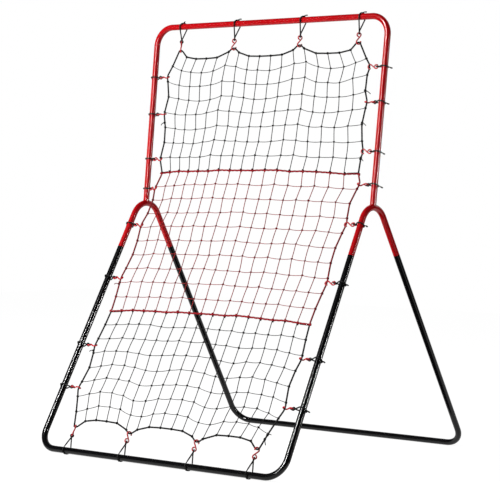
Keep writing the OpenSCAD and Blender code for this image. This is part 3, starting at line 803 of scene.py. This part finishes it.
def side_moorings(side):
    spots = []
    for z in hook_heights[side]:
        rise = net_y(side, z + HOOK_FLAT) - net_y(side, z - HOOK_FLAT)
        border_way = Vector((0, rise, 2 * HOOK_FLAT)).normalized()
        tube_point, tube_way = ((top_corner(side), arch(side)[3]) if z > crown_z
                                else (apex(side), (apex(side) - front_foot(side)).normalized()))
        spots.append(Mooring(Vector((side * NET_HALF, net_y(side, z), z)), border_way, tube_point, tube_way))
    return spots


moorings = {
    "top": end_moorings(net_top_z, top_y, top_z),
    "bottom": end_moorings(net_bottom_z, front_y, front_z),
    "left": side_moorings(LEFT),
    "right": side_moorings(RIGHT),
}


def hook_route():
    """The wire's line, sideways and along the pull, from the curl's tip to the eye's."""
    slant = math.pi / 2 - hook_slant
    middle_x, middle_y = 0.0, curl_centre + CURL_R / math.sin(hook_slant)
    run = (math.cos(slant), math.sin(slant))
    left = (-run[1], run[0])

    def bow(radius, sweep, sign):
        straight = radius / math.tan(hook_slant)
        spots = []
        steps = round(sweep / BOW_STEP)
        for i in range(steps + 1):
            turn = math.radians(sweep) * i / steps
            forward = straight + radius * math.sin(turn)
            aside = radius - radius * math.cos(turn)
            spots.append((middle_x + sign * (forward * run[0] + aside * left[0]),
                          middle_y + sign * (forward * run[1] + aside * left[1])))
        return spots

    return bow(CURL_R, CURL_SWEEP, -1)[::-1] + [(middle_x, middle_y)] + bow(EYE_R, EYE_SWEEP, 1)


def vinyl(name):
    """Dipped vinyl: softly glossy, thicker in runs along the wire, with pin holes."""
    finish, start = new_finish(name)
    place = start.node("TexCoord", out="Object")
    runs = place.noise(160, 3)
    pits = place.noise(1800, 2).ramp(0.55, 0.7)
    surface(start, {
        "Base Color": runs.ramp(0.3, 0.7).blend((0.56, 0.002, 0.010), (0.74, 0.006, 0.022)),
        "Roughness": 0.3 + 0.15 * runs,
        "Specular IOR Level": 0.4,
        "Normal": (runs - 0.3 * pits).bump(0.00025, 0.6),
    })
    return finish


red_vinyl = vinyl("red_vinyl")
for place, spots in moorings.items():
    hooks = Cords()
    chance = random.Random("hooks_" + place)
    for spot, turn in zip(spots, HOOK_TURNS[place]):
        side = spot.hook_side(turn)
        route = [spot.border + x * side + y * spot.pull for x, y in hook_route()]
        sizes = [WIRE_R * chance.uniform(0.97, 1.0) for _ in route]
        hooks.sweep(route, sizes, 14)
    hooks.piece("s_hooks_" + place, red_vinyl, "hook_wire", "hooks_" + place)

# ---- The bungee cords
# A loop of braided elastic cord is knotted through each hook's eye. Its two strands part, pass the tube
# in front and behind, and are tied off beyond it, and the cord's knotted end stands out as a tail.

CORD_R = 0.0027
TAIL_R = 0.0019
BALL_SIZE = 0.0039
EYE_KNOT = 0.0058
RING_GAP = 0.0003
SKIN_GAP = 0.0001
BRAID_STRANDS, BRAID_RATE = 6, 380

# The front base bar stands on its cords, which are pressed thinner where they go round it.
PRESSED_R = 0.0019

# Of each cord, in millimetres: how far its front strand, its back strand and its tie lie up the tube or
# to the right, then the place of the knot on its end: along the tube, out past its axis, and forward.
CORD_LAYS = {
    "top": ((-4, 14, 5, 10, 19, 3), (2, 15, 9, 22, 19, 0), (3, 14, 9, 22, 19, 0), (3, 15, 9, 23, 18, 0)),
    "bottom": ((-8, 9, -3, -6, 10, 12), (-5, 7, -2, 1, 9, 13), (-5, 8, -2, 1, 9, 13),
               (-5, 7, -1, 2, 9, 13)),
    "left": ((2, -4, 0, -1, 19, -5), (2, -4, 0, -1, 19, -5), (3, -4, 0, 1, 19, -5), (2, -3, 0, 1, 19, -5),
             (3, -4, 0, -1, 19, -5), (2, -4, 0, 1, 19, -5), (3, -4, 0, 1, 19, -5), (3, -4, 0, -1, 19, -5)),
    "right": ((2, -1, -2, -7, 32, 4), (5, -5, -2, -7, 31, 4), (2, -1, -2, -8, 30, 4), (5, -6, -2, -8, 31, 4),
              (2, -2, -2, -8, 31, 4), (2, -2, -2, -8, 28, 4), (4, -4, -2, -9, 30, 4),
              (4, -4, -2, -9, 31, 4)),
}


def braided_cord(name, deep, pale):
    """Braided sheath over rubber: small diamonds, painted darker between them as shade, a little glossy on
    their crests.
    """
    finish, start = new_finish(name)
    lay = start.node("UVMap", {"uv_map": "lay"})
    turn = start.node("SeparateXYZ", None, {"Vector": lay}, "X")
    along = start.node("SeparateXYZ", None, {"Vector": lay}, "Y")
    one_way = (math.tau * (BRAID_STRANDS * turn + along * BRAID_RATE)).math("SINE")
    other_way = (math.tau * (BRAID_STRANDS * turn - along * BRAID_RATE)).math("SINE")
    braid_relief_and_shade = 0.5 + 0.5 * (one_way * other_way)
    wear = start.node("TexCoord", out="Object").noise(90, 4)
    surface(start, {
        # Painted shade: the base colour is darker in the hollows between the braid's diamonds; the wear
        # noise is the cord's own uneven tone.
        "Base Color": (0.6 * braid_relief_and_shade + 0.4 * wear).ramp(0.2, 0.8).blend(deep, pale),
        "Roughness": 0.66 - 0.16 * braid_relief_and_shade,
        "Specular IOR Level": 0.15,
        "Normal": braid_relief_and_shade.bump(0.0002, 0.6),
    })
    return finish


def tie_cord(cords, spot, turn, lay, round_r):
    """One cord: the loop in the eye, the knot, both strands round the tube, the tail and its knot."""
    loop_r = TUBE_R + round_r + SKIN_GAP
    front_lay, back_lay, tie_lay, ball_lay, ball_out, ball_front = (value / 1000 for value in lay)
    side = spot.hook_side(turn)
    flat = side.cross(spot.pull)
    eye = spot.border + eye_top * spot.pull
    ring_r = WIRE_R + CORD_R + RING_GAP
    ring = [eye + ring_r * (math.cos(math.tau * i / 18) * spot.pull + math.sin(math.tau * i / 18) * flat)
            for i in range(18)]
    cords.sweep(ring, CORD_R, 9, closed=True)
    knot = eye + EYE_KNOT * spot.pull
    tie_knot(cords, knot, flat, spot.pull, 0.0026, 0.0016)
    front = spot.tube_way.cross(spot.pull)
    if front.y > 0:
        front = -front
    span = spot.reach - eye_top - EYE_KNOT
    touch = math.acos(loop_r / span)
    tie = spot.tube + spot.pull * loop_r + tie_lay * spot.tube_way
    for face, lay_at in ((front, front_lay), (-front, back_lay)):
        start = spot.tube - loop_r * math.cos(touch) * spot.pull + loop_r * math.sin(touch) * face
        start = start + lay_at * spot.tube_way
        route = [knot.lerp(start, i / 6) for i in range(6)]
        for i in range(15):
            share = i / 14
            angle = touch + (math.pi - touch) * share
            slide = lay_at + (tie_lay - lay_at) * share ** 2
            route.append(spot.tube - loop_r * math.cos(angle) * spot.pull
                         + loop_r * math.sin(angle) * face + slide * spot.tube_way)
        cords.sweep(route, [CORD_R] * 5 + [round_r] * 16, 9)
    tie_knot(cords, tie + 0.0004 * spot.pull, spot.pull, spot.tube_way, 0.0022, 0.0014)
    ball = spot.tube + ball_lay * spot.tube_way + ball_out * spot.pull + ball_front * front
    bend = 0.1 * (ball - tie).length * spot.pull
    cords.sweep([tie.lerp(ball, i / 8) + 4 * (i / 8) * (1 - i / 8) * bend for i in range(9)], TAIL_R, 8)
    tie_knot(cords, ball, spot.tube_way, (ball - tie).normalized(), BALL_SIZE, 0.0017, 24)


black_cord = braided_cord("black_elastic_cord", (0.002, 0.002, 0.002), (0.009, 0.009, 0.009))
for place, spots in moorings.items():
    cords = Cords()
    for spot, turn, lay in zip(spots, HOOK_TURNS[place], CORD_LAYS[place]):
        tie_cord(cords, spot, turn, lay, PRESSED_R if place == "bottom" else CORD_R)
    cords.piece("bungee_cords_" + place, black_cord, "elastic_cord", "bungees_" + place)

# ---- The studio
# A white floor and sky, a broad soft lamp at the front left, and narrow lamps that draw a thin line down
# each tube. Black drapes, under the net and all round but at the back left, are seen only in the gloss.

WHITE = (1, 1, 1, 1)
DRAPE_LOW, DRAPE_HIGH, DRAPE_CEILING = 0.004, 5.6, 6.0


def seen_rays(start):
    """1 for rays that come straight from the camera or by way of gloss or glass, else 0."""
    camera_ray, gloss, glass = (start.node("LightPath", out="Is " + kind + " Ray")
                                for kind in ("Camera", "Glossy", "Transmission"))
    return camera_ray + gloss + glass


world = bpy.data.worlds.new("white_room")
bpy.context.scene.world = world
world.use_nodes = True
world.node_tree.nodes.clear()
sky = Signal(world.node_tree)
white_sky = sky.node("Background", None, {"Color": WHITE, "Strength": 1.0})
soft_sky = sky.node("Background", None, {"Color": WHITE, "Strength": 0.28})
sky.node("OutputWorld", None, {"Surface": sky.node(
    "MixShader", None, {0: seen_rays(sky), 1: soft_sky, 2: white_sky})})

floor_finish, start = new_finish("white_floor")
grain = start.node("TexCoord", out="Object").noise(40, 3)
bounce = start.node("BsdfDiffuse", None, {"Color": grain.blend((0.78, 0.78, 0.78), (0.82, 0.82, 0.82))})
glow = start.node("Emission", None, {"Color": WHITE, "Strength": 0.92})
lit = start.node("AddShader", None, {0: start.node("BsdfDiffuse", None, {"Color": (0.24, 0.24, 0.24, 1)}),
                                     1: glow})
start.node("OutputMaterial", None, {"Surface": start.node(
    "MixShader", None, {0: seen_rays(start), 1: bounce, 2: lit})})

cloth_finish, start = new_finish("black_cloth")
# Painted shade: the black cloth's colour is a little lighter and darker in broad patches, standing in for
# folds that the flat drapes don't have.
painted_fold_shade = start.node("TexCoord", out="Object").noise(3, 4)
surface(start, {"Base Color": painted_fold_shade.blend((0.004, 0.004, 0.004), (0.010, 0.010, 0.010)), "Roughness": 0.95,
                "Specular IOR Level": 0.0})


def stage_piece(name, points, faces, finish):
    mesh = bpy.data.meshes.new(name)
    mesh.from_pydata(points, [], faces)
    mesh.materials.append(finish)
    made = bpy.data.objects.new(name, mesh)
    bpy.context.scene.collection.objects.link(made)
    return made


stage_piece("floor", [(-9, -9, 0), (9, -9, 0), (9, 9, 0), (-9, 9, 0)], [(0, 1, 2, 3)], floor_finish)

# The drapes' lines, each from the back left round the front to the back right.
drape_lines = (
    (DRAPE_LOW, ((-2.0, 1.2), (-1.8, -1.8), (2.0, -2.0), (2.2, 1.6))),
    (DRAPE_LOW, ((-7.0, 5.0), (-6.0, -8.5), (8.0, -8.5), (4.0, 8.5))),
    (DRAPE_HIGH, ((-7.0, 5.0), (-6.0, -8.5), (8.0, -8.5), (4.0, 8.5))),
    (DRAPE_CEILING, ((-2.0, 4.0), (-1.0, -1.0), (1.0, -1.0), (2.0, 5.0))),
)
drape_faces = [(4 * line + i, 4 * line + i + 1, 4 * line + i + 5, 4 * line + i + 4)
               for line in range(3) for i in range(3)]
under_net = ((-0.5, -0.42), (1.5, -0.42), (1.5, 0.1), (0.64, 0.5), (-0.5, 0.5))
drape_points = [(x, y, z) for z, line in (*drape_lines, (DRAPE_LOW, under_net)) for x, y in line]
ceiling, patch = (12, 13, 14, 15), (16, 17, 18, 19, 20)
drapes = stage_piece("drapes", drape_points, drape_faces + [ceiling, patch], cloth_finish)
drapes.visible_camera = drapes.visible_diffuse = drapes.visible_shadow = False


def lamp(name, place, target, width, height, power):
    data = bpy.data.lights.new(name, "AREA")
    data.shape = "RECTANGLE"
    data.size, data.size_y, data.energy = width, height, power
    made = bpy.data.objects.new(name, data)
    made.location = place
    made.rotation_euler = (Vector(target) - Vector(place)).to_track_quat("-Z", "Y").to_euler()
    bpy.context.scene.collection.objects.link(made)
    made.visible_camera = False
    return made


broad_lamp = lamp("broad_lamp", (-3.2, -4.6, 2.6), (0, 0, 0.9), 2.2, 3.0, 290)
broad_lamp.visible_glossy = False
line_lamps = (
    ("low_right_line_lamp", (4.9, 1.2, 1.4), 0.15, 0.6, 110),
    ("high_right_line_lamp", (4.9, 1.6, 2.15), 0.15, 0.9, 40),
    ("low_left_line_lamp", (-0.3, -4.2, 2.2), 0.4, 1.6, 150),
    ("high_left_line_lamp", (-0.9, -3.8, 3.35), 0.2, 1.2, 340),
)
for name, place, width, height, power in line_lamps:
    line_lamp = lamp(name, place, (0, 0, 0.9), width, height, power)
    line_lamp.visible_diffuse = False

bpy.context.scene.view_settings.view_transform = "Standard"
